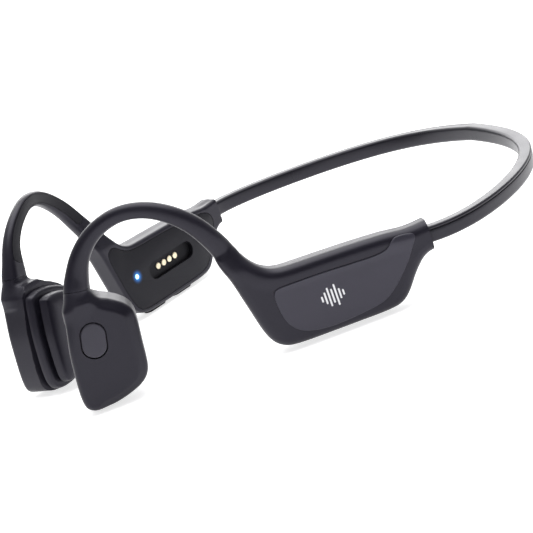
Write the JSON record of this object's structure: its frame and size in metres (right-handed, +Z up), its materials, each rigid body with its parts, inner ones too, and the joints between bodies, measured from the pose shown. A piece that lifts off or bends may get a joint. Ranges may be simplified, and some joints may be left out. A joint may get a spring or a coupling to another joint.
{
  "type": "bone conduction headphones",
  "caption": "Open-ear bone conduction headphones: two vibrating pods on ear hooks, two flat housings and a springy band behind the head.",
  "frame": {"origin": "middle of the footprint, on the table that the headphones stand on", "axes": "+Z up, +X the wearer's left, the wearer faces -Y"},
  "size_m": [0.1238, 0.1447, 0.0485],
  "materials": {
    "soft_touch": "matte soft-touch coating over moulded plastic",
    "silicone": "matte liquid silicone overmould",
    "satin_plate": "satin moulded plastic",
    "button_grey": "matte moulded plastic",
    "matte_cover": "matte black plastic",
    "black_rubber": "matte black rubber",
    "titanium": "drawn titanium wire",
    "steel": "plain steel",
    "gold": "gold plating",
    "battery_foil": "aluminium laminate pouch",
    "circuit_green": "solder mask",
    "copper": "enamelled copper winding",
    "indicator_light": "clear light pipe, lit blue"
  },
  "bodies": {
    "right_side": {"right_housing_shell": "soft_touch", "right_inner_cover": "matte_cover", "right_trim_plate": "satin_plate", "right_band_sleeve": "silicone", "right_band_wire": "titanium", "right_band_ferrule": "steel", "right_hook_sleeve": "silicone", "right_hook_wire": "titanium", "right_hook_inlay": "matte_cover", "right_pod_outer_shell": "soft_touch", "right_pod_inner_shell": "soft_touch", "right_transducer_yoke": "steel", "right_transducer_magnet": "steel", "main_circuit_board": "circuit_green", "contact_carrier": "black_rubber", "charging_contact_1": "gold", "charging_contact_2": "gold", "charging_contact_3": "gold", "charging_contact_4": "gold", "charging_magnet_1": "steel", "charging_magnet_2": "steel", "indicator_light_pipe": "indicator_light", "volume_up_switch": "steel", "volume_down_switch": "steel"},
    "left_side": {"left_housing_shell": "soft_touch", "left_inner_cover": "matte_cover", "left_trim_plate": "satin_plate", "left_band_sleeve": "silicone", "left_band_wire": "titanium", "left_band_ferrule": "steel", "left_hook_sleeve": "silicone", "left_hook_wire": "titanium", "left_hook_inlay": "matte_cover", "left_pod_outer_shell": "soft_touch", "left_pod_inner_shell": "soft_touch", "left_transducer_yoke": "steel", "left_transducer_magnet": "steel", "battery": "battery_foil", "multifunction_switch": "steel", "microphone": "steel"},
    "multifunction_button": {"multifunction_button": "button_grey"},
    "volume_up_button": {"volume_up_button": "black_rubber"},
    "volume_down_button": {"volume_down_button": "black_rubber"},
    "left_transducer_drive": {"left_transducer_pad": "silicone", "left_transducer_armature": "steel", "left_voice_coil": "copper"},
    "right_transducer_drive": {"right_transducer_pad": "silicone", "right_transducer_armature": "steel", "right_voice_coil": "copper"}
  },
  "joints": [
    {"name": "neckband_flex", "type": "hinge", "parent": "right_side", "child": "left_side", "pos_m": [0, 0.07248, 0.0167], "axis": [0, 0, 1], "range_deg": [-4, 50], "stiffness_Nm_per_rad": 0.15},
    {"name": "multifunction_press", "type": "slide", "parent": "left_side", "child": "multifunction_button", "axis": [-0.9135, 0.4067, 0], "range_m": [0, 0.0004], "stiffness_N_per_m": 2000},
    {"name": "volume_up_press", "type": "slide", "parent": "right_side", "child": "volume_up_button", "axis": [0, 0, 1], "range_m": [0, 0.0005], "stiffness_N_per_m": 2000},
    {"name": "volume_down_press", "type": "slide", "parent": "right_side", "child": "volume_down_button", "axis": [0, 0, 1], "range_m": [0, 0.0005], "stiffness_N_per_m": 2000},
    {"name": "left_pad_vibration", "type": "slide", "parent": "left_side", "child": "left_transducer_drive", "axis": [0.9135, -0.4067, 0], "range_m": [-0.00015, 0.00015], "stiffness_N_per_m": 2000},
    {"name": "right_pad_vibration", "type": "slide", "parent": "right_side", "child": "right_transducer_drive", "axis": [-0.9135, -0.4067, 0], "range_m": [-0.00015, 0.00015], "stiffness_N_per_m": 2000}
  ]
}
